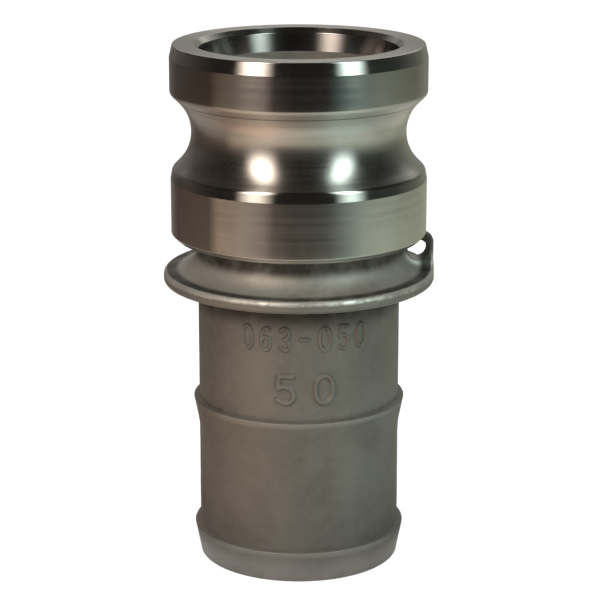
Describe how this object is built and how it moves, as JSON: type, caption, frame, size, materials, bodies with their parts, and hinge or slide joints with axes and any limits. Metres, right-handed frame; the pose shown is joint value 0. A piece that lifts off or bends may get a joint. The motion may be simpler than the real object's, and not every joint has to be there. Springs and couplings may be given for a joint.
{
  "type": "grooved hose adapter",
  "caption": "Male cam-and-groove adapter: a turned head with a deep round groove, a collar with a chain eye, and a ribbed shank that a hose is clamped on.",
  "frame": {"origin": "centre of the shank's end face at the hose end", "axes": "+Z along the bore axis from the hose end to the grooved head, +X towards the chain lug"},
  "size_m": [0.0671, 0.067, 0.13],
  "materials": {
    "turned_steel": "turned bright, fine circumferential tool lines",
    "cast_steel": "as cast and blasted, matte, faintly grainy"
  },
  "bodies": {
    "root": {"adapter_head": "turned_steel", "neck": "cast_steel", "shank_flange": "cast_steel", "chain_lug": "cast_steel", "hose_shank": "cast_steel", "hose_ring_upper": "cast_steel", "hose_ring_lower": "cast_steel"}
  },
  "joints": []
}
